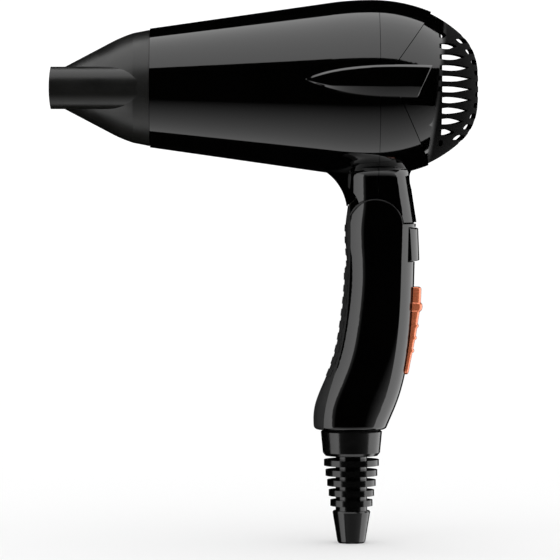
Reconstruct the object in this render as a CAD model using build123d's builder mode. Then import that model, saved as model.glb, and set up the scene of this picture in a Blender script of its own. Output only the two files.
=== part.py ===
from build123d import *
import os
from math import atan, cos, degrees, radians, sin, sqrt

# Folding travel hair dryer with a concentrator nozzle.
# +Z is up and the nozzle points along -X.
# The origin is in the grip, in the plane between the handle's halves.

# ---- driving dimensions, mm ----
wall = 1.8                  # casing wall
seam_gap = 0.2              # open line between neighbouring casings
running_gap = 0.3           # free space between bodies that move past each other
pin_play = 0.05             # radial play of the hinge pin in its eye

# barrel: a cone that rounds over a crown into the rear bulb
barrel_z = 98.0             # height of the barrel's axis
outlet_x = -100.8           # front rim
outlet_r = 26.7
barrel_taper = 0.143        # growth of the radius per mm along the cone
cone_end_x = -20.0
crown_x = -1.5              # widest station
casing_round = 70.0         # section radius behind the crown, on the casing
cap_round = 60.0            # the same on the grille cap, which therefore drops below the casing
tail_round = 23.0           # section radius of the cap's tail
tail_angle = 41.8           # degrees from the crown at which the tail round starts
seam_x = 1.5                # joint between the front and the middle casing

# grille cap: its edge is a V that points forward
cap_apex = (5.5, 104.5)
cap_top = (38.7, 150.0)
cap_foot = (30.8, 50.0)
slot_pitch = 4.8
slot_height = 2.8           # widest part of a side slot
slot_blunt = 1.9            # height of its blunt front end
slot_widest = 0.35          # where it is widest, as a share of its length
slot_shift = -0.6           # height of the middle side slot against the axis
slot_start_x = 27.9
slot_lead = 1.5             # the two middle slots start this much further forward
side_slot_rows = 5          # rows above and below the middle one
side_slot_reach = 18.5      # half width at which a side slot ends in a point
rear_slot_height = 2.2
rear_slot_inner = 3.0       # half width of the rear spine
rear_slot_outer = 15.5
notch_r = 1.2               # round notches across the rear spine
notch_depth = 0.6

# leaf-shaped inlay in each flank
leaf_tip = (-31.5, 101.8)
leaf_top = (24.4, 107.8)
leaf_heel = (17.7, 93.7)
leaf_proud = 0.15
leaf_depth = 0.8

# nozzle
nozzle_tip_x = -143.6
nozzle_wall = 1.6
duct_width = 50.0
duct_height = 18.9
duct_corner = 7.7
duct_end_x = -106.0
mouth_bulge = 0.9
cone_start = (-139.3, 9.4)
cone_shoulder = (-119.0, 20.1)
cone_bend = (-113.6, 22.7)
collar_start = (-108.2, 24.7)
collar_end = (-101.0, 26.1)
nozzle_bore_r = 23.2
spigot_r = 22.0
spigot_wall = 1.4
spigot_tip_x = -108.6

# hinge between the neck and the handle
pivot_z = 36.0
pin_r = 2.5
pin_half_length = 11.5
eye_r = 7.0
eye_half_width = 4.8
stem_half_depth = 5.8
stem_top_z = 60.0
fork_half_gap = 5.4         # half width of the slot in the handle
core_half_width = 8.5       # the handle's middle, which turns between the neck's flanks
core_r = 14.8
cheek_r = 12.6              # the handle's cheeks, which turn in the arches of the neck's flanks
shoulder_z = 37.0           # the handle's rear shoulder
neck_foot_z = 37.8
# the flare from the neck into the barrel: height, half length, half width, centre
flare_sections = (
    (58.2, 14.5, 14.0, 1.3),
    (59.4, 14.7, 14.25, 1.25),
    (60.5, 15.3, 14.9, 1.1),
    (61.5, 16.5, 16.1, 0.7),
    (62.5, 18.8, 18.2, -0.4),
)
gusset_half_width = 4.8

# handle
handle_half_width = 14.0
handle_wall = 2.6
handle_foot_z = -55.6
# height, front edge, rear edge
handle_sections = (
    (52.0, -14.4, 19.2),
    (36.0, -14.3, 18.6),
    (22.0, -13.8, 18.2),
    (8.0, -13.8, 17.8),
    (-6.0, -15.3, 17.1),
    (-20.0, -17.8, 15.6),
    (-33.0, -22.4, 13.3),
    (-44.0, -26.7, 10.0),
    (handle_foot_z, -27.4, 5.2),
)
strip_depth = 1.3
rib_pitch = 5.4
rib_height = 3.0
rib_proud = 0.25
rib_half_width = 6.2
rib_top_z = 35.0
rib_count = 13
screw_spots = ((-7.5, 12.0), (-5.5, -12.0), (-14.0, -34.5))
boss_r = 3.6
screw_r = 1.5
screw_head_r = 2.8

# speed slider, on an arc that follows the handle's back
track_mid = (16.5, -12.0)   # point of the handle's back behind the slider's middle
track_lean = 6.2            # degrees from upright of the back at that point
track_round = 208.0
slider_travel = 6.0
slider_half_width = 4.2
slider_top_z = 8.6
slider_low_z = -30.8
slider_gap = 0.45           # under the slider, whose track follows the handle's back only roughly

# cool-air button
button_low_z = 20.2
button_top_z = 35.4
button_half_width = 8.5
button_proud = 1.9          # how far it stands out of the handle's surface
tongue_half_width = 6.0     # the tongue that holds it in the handle
tongue_reach = 8.0

# strain relief
cord_x = -10.3
cord_bore_r = 3.5
relief_core_r = 7.1
relief_tip_z = -106.9
relief_top_z = -50.0
clamp_spots = ((cord_x - 7.0, 0), (cord_x + 7.0, 0))
ring_pitch = 4.55
ring_height = 2.7
ring_top_z = -69.2
ring_count = 5
ring_r = 12.4
ring_step = 0.72            # each ring is this much smaller than the one above

# blower
duct_r = 25.2
duct_wall = 1.6
duct_rear_x = 29.2
duct_front_x = -42.0
motor_r = 12.0
impeller_r = 24.4
impeller_hub_r = 11.5
blade_count = 7
vane_count = 6

# ---- derived planes and axes ----
barrel_side = Plane(origin=(0, 0, barrel_z), x_dir=(1, 0, 0), z_dir=(0, -1, 0))
barrel_axis = Axis((0, 0, barrel_z), (1, 0, 0))
cord_axis = Axis((cord_x, 0, 0), (0, 0, 1))
relief_side = Plane(origin=(cord_x, 0, 0), x_dir=(1, 0, 0), z_dir=(0, -1, 0))
track_centre = (
    track_mid[0] - track_round * cos(radians(track_lean)),
    track_mid[1] + track_round * sin(radians(track_lean)),
)
slider_turn = degrees(slider_travel / track_round)
cone_end_r = outlet_r + barrel_taper * (cone_end_x - outlet_x)
cone_lean = atan(barrel_taper)
crown_round = (crown_x - cone_end_x) / sin(cone_lean)
crown_r = cone_end_r + crown_round * (1 - cos(cone_lean))


# ---- shared forms ----
def polar(centre, radius, angle):
    """The point at an angle from upright, in radians, on a circle in a side-view plane."""
    return (centre[0] + radius * sin(angle), centre[1] + radius * cos(angle))


def barrel_form(rear_round, inset, front_x=outlet_x):
    """The barrel as one solid of revolution, shrunk by inset; rear_round shapes it behind the crown."""
    crown_centre = (crown_x, crown_r - crown_round)
    rear_centre = (crown_x, crown_r - rear_round)
    turn = radians(tail_angle)
    tail_centre = polar(rear_centre, rear_round - tail_round, turn)
    cone_end = polar(crown_centre, crown_round - inset, -cone_lean)
    crown = (crown_x, crown_r - inset)
    tail = polar(rear_centre, rear_round - inset, turn)
    end = (tail_centre[0] + tail_round - inset, tail_centre[1])
    front = (front_x, cone_end[1] - barrel_taper * (cone_end[0] - front_x))
    with BuildPart() as form:
        with BuildSketch(barrel_side):
            with BuildLine():
                Line((front_x, 0), front)
                Line(front, cone_end)
                ThreePointArc(cone_end, polar(crown_centre, crown_round - inset, -cone_lean / 2), crown)
                ThreePointArc(crown, polar(rear_centre, rear_round - inset, turn / 2), tail)
                tail_mid = polar(tail_centre, tail_round - inset, (turn + radians(90)) / 2)
                ThreePointArc(tail, tail_mid, end)
                Line(end, (end[0], 0))
                Line((end[0], 0), (front_x, 0))
            make_face()
        revolve(axis=barrel_axis)
    return form.part


def cap_surface_x(radius):
    """The station at which the cap's surface has a radius."""
    rear_centre_r = crown_r - cap_round
    tail_centre = polar((crown_x, rear_centre_r), cap_round - tail_round, radians(tail_angle))
    tail_start_r = rear_centre_r + cap_round * cos(radians(tail_angle))
    if radius > tail_start_r:
        return crown_x + sqrt(cap_round**2 - (radius - rear_centre_r) ** 2)
    return tail_centre[0] + sqrt(tail_round**2 - max(radius - tail_centre[1], 0) ** 2)


def handle_form(inset, foot_fillet=0.0):
    """The right half of the handle's solid form, lofted through half ellipses and shrunk by inset."""
    with BuildPart() as form:
        for height, front, rear in handle_sections:
            centre = ((front + rear) / 2, 0)
            depth = (rear - front) / 2 - inset
            with BuildSketch(Plane.XY.offset(height)):
                with BuildLine():
                    rim = EllipticalCenterArc(centre, depth, handle_half_width - inset, arc_size=180)
                    Line(rim @ 1, rim @ 0)
                make_face()
        loft()
        if foot_fillet:
            fillet(form.faces().sort_by(Axis.Z)[0].edges().sort_by(Axis.Y)[-1], foot_fillet)
    return form.part


def side_prism(points, half_width):
    """A prism across the dryer, from a closed outline in side view."""
    with BuildPart() as prism:
        with BuildSketch(Plane.XZ):
            with BuildLine():
                Polyline(*points, close=True)
            make_face()
        extrude(amount=half_width, both=True)
    return prism.part


def pivot_disc(radius, half_width):
    """A disc about the hinge axis."""
    with BuildPart() as disc:
        with BuildSketch(Plane.XZ):
            with Locations((0, pivot_z)):
                Circle(radius)
        extrude(amount=half_width, both=True)
    return disc.part


def barrel_tube(x_from, x_to, outer, inner=0.0):
    """A tube, or a rod if inner is 0, on the barrel's axis."""
    with BuildPart() as tube:
        with BuildSketch(Plane.YZ.offset(x_from)):
            with Locations((0, barrel_z)):
                Circle(outer)
                if inner:
                    Circle(inner, mode=Mode.SUBTRACT)
        extrude(amount=x_to - x_from)
    return tube.part


def cross_rods(spots, radius, y_from, y_to):
    """Round rods across the dryer, one at each spot of the side view."""
    with BuildPart() as rods:
        with BuildSketch(Plane.XZ.offset(-y_to)):
            with Locations(*spots):
                Circle(radius)
        extrude(amount=y_to - y_from)
    return rods.part


def stem_outline(growth):
    """Side view of the hinge knuckle's stem, grown by some mm."""
    half, top = stem_half_depth + growth, stem_top_z + growth
    return ((-half, pivot_z), (half, pivot_z), (half, top), (-half, top))


# ---- barrel casings ----
leaf_rise = (leaf_top[0] - leaf_tip[0]) / 3
with BuildPart() as leaf_prism:
    with BuildSketch(Plane.XZ) as leaf_sketch:
        with BuildLine():
            Spline(
                leaf_tip,
                (leaf_tip[0] + leaf_rise * 0.85, leaf_top[1] - 1.4),
                leaf_top,
                tangents=((1.0, 0.62), (1.0, -0.03)),
            )
            Line(leaf_top, leaf_heel)
            Spline(
                leaf_heel,
                (leaf_tip[0] + leaf_rise * 0.85, leaf_heel[1] + 2.2),
                leaf_tip,
                tangents=((-1.0, 0.0), (-1.0, 0.62)),
            )
        make_face()
    extrude(amount=60, both=True)

with BuildPart() as leaf_pair:
    add(leaf_prism.part)
    add(barrel_form(casing_round, -leaf_proud), mode=Mode.INTERSECT)
    add(barrel_form(cap_round, leaf_depth), mode=Mode.SUBTRACT)

with BuildPart() as inlay_left:
    add(leaf_pair.part)
    split(bisect_by=Plane.XZ, keep=Keep.TOP)

with BuildPart() as inlay_right:
    add(leaf_pair.part)
    split(bisect_by=Plane.XZ, keep=Keep.BOTTOM)

with BuildPart() as neck_stub:
    with BuildSketch(Plane.XY.offset(neck_foot_z)):
        with Locations((2.9, 0)):
            Ellipse(16.0, handle_half_width)
    with BuildSketch(Plane.XY.offset(flare_sections[0][0])):
        with Locations((flare_sections[0][3], 0)):
            Ellipse(*flare_sections[0][1:3])
    loft()
    for height, half_length, half_width, centre in flare_sections:
        with BuildSketch(Plane.XY.offset(height)):
            with Locations((centre, 0)):
                Ellipse(half_length, half_width)
    loft()

with BuildPart() as neck_gusset:
    with BuildSketch(Plane.XZ):
        with BuildLine():
            ThreePointArc((-26.0, 62.5), (-15.6, 53.6), (-12.5, 45.0))
            Polyline((-12.5, 45.0), (-8.6, 45.0), (-8.6, 62.5), (-26.0, 62.5))
        make_face()
    extrude(amount=gusset_half_width, both=True)

with BuildPart() as neck_front_cut:
    with BuildSketch(Plane.XZ):
        with BuildLine():
            ThreePointArc((-7.2, 46.0), (-9.9, 51.4), (-16.0, 55.4))
            Polyline((-16.0, 55.4), (-30.0, 58.0), (-30.0, 30.0), (-7.2, 30.0), (-7.2, 46.0))
        make_face()
    extrude(amount=30, both=True)

with BuildPart() as neck_void:
    with BuildSketch(Plane.XY.offset(52)):
        with Locations((1.8, 0)):
            Ellipse(12.2, handle_half_width - 2.2)
    extrude(amount=24)

with BuildPart() as casing:
    add(neck_stub.part)
    add(neck_front_cut.part, mode=Mode.SUBTRACT)
    add(neck_gusset.part)
    add(barrel_form(casing_round, 0))
    add(neck_void.part, mode=Mode.SUBTRACT)
    add(barrel_form(casing_round, wall, outlet_x - 5), mode=Mode.SUBTRACT)
    add(pivot_disc(cheek_r + running_gap, 30), mode=Mode.SUBTRACT)
    add(pivot_disc(core_r + 0.5, core_half_width + running_gap), mode=Mode.SUBTRACT)
    add(side_prism(stem_outline(0.1), eye_half_width + 0.1), mode=Mode.SUBTRACT)
    add(leaf_pair.part, mode=Mode.SUBTRACT)

cap_zone = side_prism((cap_apex, cap_top, (90.0, cap_top[1]), (90.0, cap_foot[1]), cap_foot), 60)
cap_zone_wide = side_prism(
    (
        (cap_apex[0] - 2 * seam_gap, cap_apex[1]),
        (cap_top[0] - 2 * seam_gap, cap_top[1]),
        (90.0, cap_top[1]),
        (90.0, cap_foot[1]),
        (cap_foot[0] - 2 * seam_gap, cap_foot[1]),
    ),
    60,
)
neck_screw_z = 55.5
with BuildPart() as neck_screw_hole:
    with BuildSketch(Plane.YZ.offset(-20)):
        with Locations((0, neck_screw_z)):
            Circle(screw_r + pin_play)
    extrude(amount=60)
    with BuildSketch(Plane.YZ.offset(12.6)):
        with Locations((0, neck_screw_z)):
            Circle(screw_head_r + 0.2)
    extrude(amount=20)

with BuildPart() as front_boss:
    with BuildSketch(Plane.YZ.offset(-13.0)):
        with Locations((0, neck_screw_z)):
            Circle(boss_r)
    extrude(amount=6.6)

with BuildPart() as front_shell:
    add(casing.part)
    split(bisect_by=Plane.YZ.offset(seam_x - seam_gap / 2), keep=Keep.BOTTOM)
    add(front_boss.part)
    with BuildSketch(Plane.YZ.offset(-9.5)):
        with Locations((0, neck_screw_z)):
            Circle(screw_r + pin_play)
    extrude(amount=20, mode=Mode.SUBTRACT)

with BuildPart() as middle_shell:
    add(casing.part)
    split(bisect_by=Plane.YZ.offset(seam_x + seam_gap / 2), keep=Keep.TOP)
    add(cap_zone_wide, mode=Mode.SUBTRACT)
    add(neck_screw_hole.part, mode=Mode.SUBTRACT)

with BuildPart() as side_slots:
    with BuildSketch(barrel_side):
        for row in range(-side_slot_rows, side_slot_rows + 1):
            height = slot_shift + row * slot_pitch
            start_x = slot_start_x - (slot_lead if row in (0, 1) else 0)
            tip = (cap_surface_x(sqrt(side_slot_reach**2 + height**2)), height)
            widest_x = start_x + slot_widest * (tip[0] - start_x)
            front_low = (start_x, height - slot_blunt / 2)
            front_high = (start_x, height + slot_blunt / 2)
            with BuildLine():
                Line(front_low, front_high)
                ThreePointArc(front_high, (widest_x, height + slot_height / 2), tip)
                ThreePointArc(tip, (widest_x, height - slot_height / 2), front_low)
            make_face()
    extrude(amount=60, both=True)

with BuildPart() as rear_slots:
    slot_length = rear_slot_outer - rear_slot_inner
    with BuildSketch(Plane.YZ.offset(24)):
        for row in range(-side_slot_rows, side_slot_rows):
            height = barrel_z + slot_shift + (row + 0.5) * slot_pitch
            for side in (-1, 1):
                with Locations((side * (rear_slot_inner + slot_length / 2), height)):
                    SlotOverall(slot_length, rear_slot_height)
    extrude(amount=40)

with BuildPart() as spine_notches:
    with BuildSketch(barrel_side):
        for row in range(-side_slot_rows, side_slot_rows + 1):
            height = slot_shift + row * slot_pitch
            with Locations((cap_surface_x(abs(height)) + notch_r - notch_depth, height)):
                Circle(notch_r)
    extrude(amount=rear_slot_inner + 2.0, both=True)

with BuildPart() as grille_cap:
    add(barrel_form(cap_round, 0))
    add(barrel_form(cap_round, wall, outlet_x - 5), mode=Mode.SUBTRACT)
    add(cap_zone, mode=Mode.INTERSECT)
    add(side_slots.part, mode=Mode.SUBTRACT)
    add(rear_slots.part, mode=Mode.SUBTRACT)
    add(spine_notches.part, mode=Mode.SUBTRACT)
    add(leaf_pair.part, mode=Mode.SUBTRACT)

# ---- outlet ----
with BuildPart() as outlet_spigot:
    add(barrel_tube(spigot_tip_x, outlet_x + 8, spigot_r, spigot_r - spigot_wall))
    add(barrel_tube(outlet_x, outlet_x + 2, outlet_r - wall - 0.1, spigot_r - spigot_wall))

with BuildPart() as outlet_grille:
    grille_x = outlet_x - 5.5
    for ring in (6.0, 11.0, 16.0):
        add(barrel_tube(grille_x, grille_x + 2, ring + 0.6, ring - 0.6))
    add(barrel_tube(grille_x, grille_x + 2, spigot_r - spigot_wall, spigot_r - spigot_wall - 1.2))
    with BuildSketch(Plane.YZ.offset(grille_x)):
        with Locations((0, barrel_z)):
            with PolarLocations(12.7, 6):
                Rectangle(14.4, 1.2)
    extrude(amount=2)

# ---- nozzle ----
with BuildPart() as nozzle_mouth:
    reach = duct_end_x - nozzle_tip_x
    with BuildSketch(Plane.XZ):
        with BuildLine():
            low = (nozzle_tip_x + mouth_bulge, barrel_z - duct_height)
            high = (nozzle_tip_x + mouth_bulge, barrel_z + duct_height)
            ThreePointArc(low, (nozzle_tip_x - 2 * mouth_bulge, barrel_z), high)
            Polyline(high, (duct_end_x, high[1]), (duct_end_x, low[1]), low)
        make_face()
    extrude(amount=duct_width, both=True)

with BuildPart() as nozzle_shell:
    with BuildSketch(Plane.YZ.offset(nozzle_tip_x - 3)):
        with Locations((0, barrel_z)):
            RectangleRounded(duct_width, duct_height, duct_corner)
    extrude(amount=duct_end_x - nozzle_tip_x + 3)
    add(nozzle_mouth.part, mode=Mode.INTERSECT)
    with BuildSketch(barrel_side):
        with BuildLine():
            Polyline((cone_start[0], 0), cone_start, cone_shoulder)
            ThreePointArc(cone_shoulder, cone_bend, collar_start)
            Polyline(collar_start, collar_end, (collar_end[0], 0), (cone_start[0], 0))
        make_face()
    revolve(axis=barrel_axis)
    slot_size = (duct_width - 2 * nozzle_wall, duct_height - 2 * nozzle_wall)
    with BuildSketch(Plane.YZ.offset(nozzle_tip_x - 5)):
        with Locations((0, barrel_z)):
            RectangleRounded(*slot_size, duct_corner - nozzle_wall)
    extrude(amount=duct_end_x - nozzle_tip_x - 1, mode=Mode.SUBTRACT)
    bore_end_x = spigot_tip_x - 0.8
    with BuildSketch(barrel_side):
        with BuildLine():
            Polyline(
                (cone_start[0] + 1, 0),
                (cone_start[0] + 1, cone_start[1] - nozzle_wall),
                (cone_shoulder[0], cone_shoulder[1] - nozzle_wall - 0.2),
                (cone_bend[0], cone_bend[1] - nozzle_wall - 0.1),
                (bore_end_x, nozzle_bore_r),
                (collar_end[0] + 1, nozzle_bore_r),
                (collar_end[0] + 1, 0),
                close=True,
            )
        make_face()
    revolve(axis=barrel_axis, mode=Mode.SUBTRACT)

with BuildPart() as nozzle_clip_ring:
    add(barrel_tube(spigot_tip_x + 0.2, outlet_x - 1.4, spigot_r + 1.0, spigot_r + 0.2))
    with Locations((outlet_x - 4, 0, barrel_z - spigot_r)):
        Box(20, 4, 6, mode=Mode.SUBTRACT)

# ---- heater ----
with BuildPart() as heat_shield:
    add(barrel_tube(-92.0, duct_front_x - 2, 22.8, 22.3))

with BuildPart() as heater_cross:
    with BuildSketch(Plane.YZ.offset(-92.0)):
        with Locations((0, barrel_z)):
            Rectangle(34.0, 0.8)
            Rectangle(0.8, 34.0)
    extrude(amount=46)

with BuildPart() as heater_coils:
    coil_step = 3.6
    with BuildSketch(barrel_side):
        for turn in range(12):
            with Locations((-89.0 + turn * coil_step, 18.2)):
                Circle(0.5)
    revolve(axis=barrel_axis)

with BuildPart() as thermal_cutout:
    with Locations((-47.0, 6.0, barrel_z + 6.0)):
        Box(9, 6, 6)

# ---- blower ----
with BuildPart() as fan_housing:
    add(barrel_tube(duct_front_x, duct_rear_x, duct_r + duct_wall, duct_r))
    add(barrel_tube(-37.0, -14.0, motor_r + 1.4, motor_r))
    with BuildSketch(Plane.YZ.offset(-35.0)):
        with Locations((0, barrel_z)):
            with PolarLocations((motor_r + duct_r + 1.6) / 2, vane_count):
                Rectangle(duct_r - motor_r - 0.4, 1.2)
    extrude(amount=19)

with BuildPart() as motor_can:
    add(barrel_tube(-36.0, -12.0, motor_r))
    add(barrel_tube(-12.0, -9.5, 4.0))
    add(barrel_tube(-40.0, 20.0, 1.2), mode=Mode.SUBTRACT)

with BuildPart() as motor_endcap:
    add(barrel_tube(-38.5, -36.0, motor_r - 0.4, 3.0))

with BuildPart() as rectifier_board:
    add(barrel_tube(-40.6, -39.2, 14.0, 4.0))

with BuildPart() as motor_shaft:
    add(barrel_tube(-35.0, 9.0, 1.2 - pin_play))

with BuildPart() as impeller:
    add(barrel_tube(-8.0, 8.0, impeller_hub_r, impeller_hub_r - 1.6))
    add(barrel_tube(6.2, 8.0, impeller_hub_r, 1.2 - pin_play))
    add(barrel_tube(-6.0, 6.2, 3.2, 1.2 - pin_play))
    with BuildSketch(Plane.YZ.offset(7.0)):
        with Locations((0, barrel_z)):
            with PolarLocations(17.6, blade_count):
                Rectangle(14.0, 1.3)
    extrude(amount=-14)

# ---- hinge ----
with BuildPart() as knuckle_path:
    add(pivot_disc(eye_r + 0.5, fork_half_gap))
    with BuildSketch(Plane.XZ):
        with Locations((-0.5, pivot_z + 10)):
            Rectangle(13.4, 20)
    extrude(amount=fork_half_gap, both=True)
    sweep_r = 26.0
    sweep_low = radians(-145)
    sweep_mid = sweep_low / 2
    with BuildSketch(Plane.XZ):
        with BuildLine():
            pivot = (0, pivot_z)
            Line(pivot, polar(pivot, sweep_r, 0))
            ThreePointArc(
                polar(pivot, sweep_r, 0), polar(pivot, sweep_r, sweep_mid), polar(pivot, sweep_r, sweep_low)
            )
            Line(polar(pivot, sweep_r, sweep_low), pivot)
        make_face()
    extrude(amount=fork_half_gap, both=True)

with BuildPart() as hinge_knuckle:
    add(pivot_disc(eye_r, eye_half_width))
    add(side_prism(stem_outline(0), eye_half_width))
    add(pivot_disc(pin_r + pin_play, 20), mode=Mode.SUBTRACT)
    add(neck_screw_hole.part, mode=Mode.SUBTRACT)

with BuildPart() as hinge_pin:
    add(pivot_disc(pin_r, pin_half_length))

with BuildPart() as friction_washers:
    add(pivot_disc(eye_r - 0.6, fork_half_gap - 0.1))
    add(pivot_disc(eye_r, eye_half_width + 0.12), mode=Mode.SUBTRACT)
    add(pivot_disc(pin_r + pin_play, 20), mode=Mode.SUBTRACT)

with BuildPart() as neck_screw:
    with BuildSketch(Plane.YZ.offset(-9.0)):
        with Locations((0, neck_screw_z)):
            Circle(screw_r)
    extrude(amount=21.8)
    with BuildSketch(Plane.YZ.offset(12.8)):
        with Locations((0, neck_screw_z)):
            Circle(screw_head_r)
    extrude(amount=1.8)

# ---- handle ----
with BuildPart() as handle_envelope:
    add(side_prism(((-60, shoulder_z), (60, shoulder_z), (60, -80), (-60, -80)), 30))
    add(pivot_disc(cheek_r, 30))
    add(pivot_disc(core_r, core_half_width))

with BuildPart() as strip_zone:
    with BuildSketch(Plane.XZ):
        with BuildLine():
            Spline((-11.4, 50.0), (-11.2, 16.0), (-16.2, -24.3), (-22.3, -46.0), (-22.6, -60.0))
            Polyline((-22.6, -60.0), (-40.0, -60.0), (-40.0, 50.0), (-11.4, 50.0))
        make_face()
    extrude(amount=20, both=True)

button_window = side_prism(
    (
        (9.6, button_low_z - 0.25),
        (30.0, button_low_z - 0.25),
        (30.0, button_top_z + 0.25),
        (9.6, button_top_z + 0.25),
    ),
    button_half_width + 0.25,
)
flange_pocket = side_prism(
    (
        (11.4, button_low_z - 10.0),
        (15.4, button_low_z - 10.0),
        (15.4, button_top_z + 0.6),
        (11.4, button_top_z + 0.6),
    ),
    tongue_half_width + 0.4,
)


def track_sector(inner, outer, angle_low, angle_high, half_width):
    """A sector of a ring about the slider's track centre; angles in degrees below the level line."""
    low, high = radians(90 + angle_low), radians(90 + angle_high)
    middle = (low + high) / 2
    with BuildPart() as sector:
        with BuildSketch(Plane.XZ):
            with BuildLine():
                ThreePointArc(*(polar(track_centre, outer, angle) for angle in (low, middle, high)))
                Line(polar(track_centre, outer, high), polar(track_centre, inner, high))
                ThreePointArc(*(polar(track_centre, inner, angle) for angle in (high, middle, low)))
                Line(polar(track_centre, inner, low), polar(track_centre, outer, low))
            make_face()
        extrude(amount=half_width, both=True)
    return sector.part


slider_stem_half = degrees(4.0 / track_round)
stem_slot = track_sector(
    track_round - 14.0,
    track_round + 4.0,
    track_lean - slider_stem_half - slider_turn - 0.1,
    track_lean + slider_stem_half + 0.1,
    2.0,
)

with BuildPart() as handle_void:
    add(handle_form(handle_wall))
    split(bisect_by=Plane.XY.offset(24), keep=Keep.BOTTOM)
    split(bisect_by=Plane.XY.offset(handle_foot_z + 2.4), keep=Keep.TOP)
    add(pivot_disc(core_r + 0.4, 30), mode=Mode.SUBTRACT)
    add(cross_rods(screw_spots, boss_r, -1.0, 30.0), mode=Mode.SUBTRACT)

with BuildPart() as strip_pocket:
    add(strip_zone.part)
    add(handle_form(strip_depth), mode=Mode.SUBTRACT)

with BuildPart() as handle_half:
    add(handle_form(0, 2.0))
    add(handle_envelope.part, mode=Mode.INTERSECT)
    add(handle_void.part, mode=Mode.SUBTRACT)
    add(strip_pocket.part, mode=Mode.SUBTRACT)
    add(knuckle_path.part, mode=Mode.SUBTRACT)
    add(pivot_disc(pin_r, pin_half_length), mode=Mode.SUBTRACT)
    add(button_window, mode=Mode.SUBTRACT)
    add(flange_pocket, mode=Mode.SUBTRACT)
    add(stem_slot, mode=Mode.SUBTRACT)
    with BuildSketch(Plane.XY.offset(handle_foot_z - 1)):
        with Locations((cord_x, 0)):
            Circle(8.2)
    extrude(amount=8, mode=Mode.SUBTRACT)

with BuildPart() as handle_left:
    add(handle_half.part.mirror(Plane.XZ))
    add(cross_rods(screw_spots, screw_r + pin_play, -9.0, 1.0), mode=Mode.SUBTRACT)

with BuildPart() as handle_right:
    add(handle_half.part)
    add(cross_rods(screw_spots, screw_r + pin_play, -1.0, 20.0), mode=Mode.SUBTRACT)
    add(cross_rods(screw_spots, screw_head_r + 0.15, 9.0, 20.0), mode=Mode.SUBTRACT)

with BuildPart() as handle_screws:
    add(cross_rods(screw_spots, screw_r, -8.0, 9.2))
    add(cross_rods(screw_spots, screw_head_r, 9.1, 10.9))
    add(cross_rods(screw_spots, 1.0, 10.0, 12.0), mode=Mode.SUBTRACT)

with BuildPart() as rib_slabs:
    with Locations(*((-20, 0, rib_top_z - rib * rib_pitch) for rib in range(rib_count))):
        Box(60, 2 * rib_half_width, rib_height)

with BuildPart() as strip_ribs:
    add(handle_form(-rib_proud))
    add(rib_slabs.part, mode=Mode.INTERSECT)

with BuildPart() as grip_strip:
    add(handle_form(0.1, 2.0))
    add(strip_ribs.part)
    add(handle_form(strip_depth), mode=Mode.SUBTRACT)
    add(strip_zone.part, mode=Mode.INTERSECT)
    add(handle_envelope.part, mode=Mode.INTERSECT)
    add(knuckle_path.part, mode=Mode.SUBTRACT)
    mirror(about=Plane.XZ)

# ---- strain relief and cord clamp ----
with BuildPart() as strain_relief:
    with BuildSketch(relief_side):
        with BuildLine():
            Polyline(
                (0, relief_top_z),
                (10.0, relief_top_z),
                (10.0, handle_foot_z + 2.4),
                (8.2, handle_foot_z + 2.4),
                (8.2, handle_foot_z - 0.1),
                (12.8, handle_foot_z - 0.1),
                (13.8, handle_foot_z - 1.0),
                (12.9, -66.0),
                (11.8, -67.4),
                (relief_core_r, -67.4),
                (relief_core_r, -92.3),
                (8.1, -92.3),
                (8.5, -92.9),
                (6.3, relief_tip_z + 0.7),
                (5.6, relief_tip_z),
                (0, relief_tip_z),
                close=True,
            )
        make_face()
        for ring in range(ring_count):
            radius = ring_r - ring * ring_step
            with Locations((radius / 2, ring_top_z - ring * ring_pitch - ring_height / 2)):
                Rectangle(radius, ring_height)
    revolve(axis=cord_axis)
    with BuildSketch(Plane.XY.offset(relief_tip_z - 1)):
        with Locations((cord_x, 0)):
            Circle(cord_bore_r)
    extrude(amount=80, mode=Mode.SUBTRACT)
    with BuildSketch(Plane.XY.offset(relief_top_z)):
        with Locations(*clamp_spots):
            Circle(1.3)
    extrude(amount=-3, mode=Mode.SUBTRACT)

with BuildPart() as cord_clamp:
    with BuildSketch(Plane.XY.offset(relief_top_z)):
        with Locations((cord_x, 0)):
            RectangleRounded(18.5, 9.0, 2.0)
            Circle(cord_bore_r + 0.3, mode=Mode.SUBTRACT)
        with Locations(*clamp_spots):
            Circle(1.3, mode=Mode.SUBTRACT)
    extrude(amount=3)

with BuildPart() as clamp_screws:
    with BuildSketch(Plane.XY.offset(relief_top_z - 2.8)):
        with Locations(*clamp_spots):
            Circle(1.25)
    extrude(amount=5.8)
    with BuildSketch(Plane.XY.offset(relief_top_z + 3)):
        with Locations(*clamp_spots):
            Circle(2.3)
    extrude(amount=1.4)

# ---- slider and its switch ----
with BuildPart() as switch_slider:
    with BuildSketch(Plane.XZ):
        with BuildLine():
            Polyline(
                (12.0, slider_top_z),
                (20.7, slider_top_z),
                (21.2, slider_top_z - 0.6),
                (21.2, 1.6),
                (21.6, 0.6),
                (21.4, -1.6),
                (20.3, -3.0),
            )
            Spline((20.3, -3.0), (18.9, -12.2), (17.1, -21.2), (15.1, slider_low_z + 1.2))
            Polyline(
                (15.1, slider_low_z + 1.2), (14.7, slider_low_z), (9.0, slider_low_z), (12.0, slider_top_z)
            )
        make_face()
        with Locations((19.25, -9.0), (18.35, -14.4), (17.15, -20.2)):
            Circle(0.75)
    extrude(amount=-slider_half_width)
    add(handle_form(-slider_gap), mode=Mode.SUBTRACT)
    add(
        track_sector(
            track_round - 8.0,
            track_round + 1.5,
            track_lean - slider_stem_half,
            track_lean + slider_stem_half,
            1.6,
        )
    )
    mirror(about=Plane.XZ)

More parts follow.
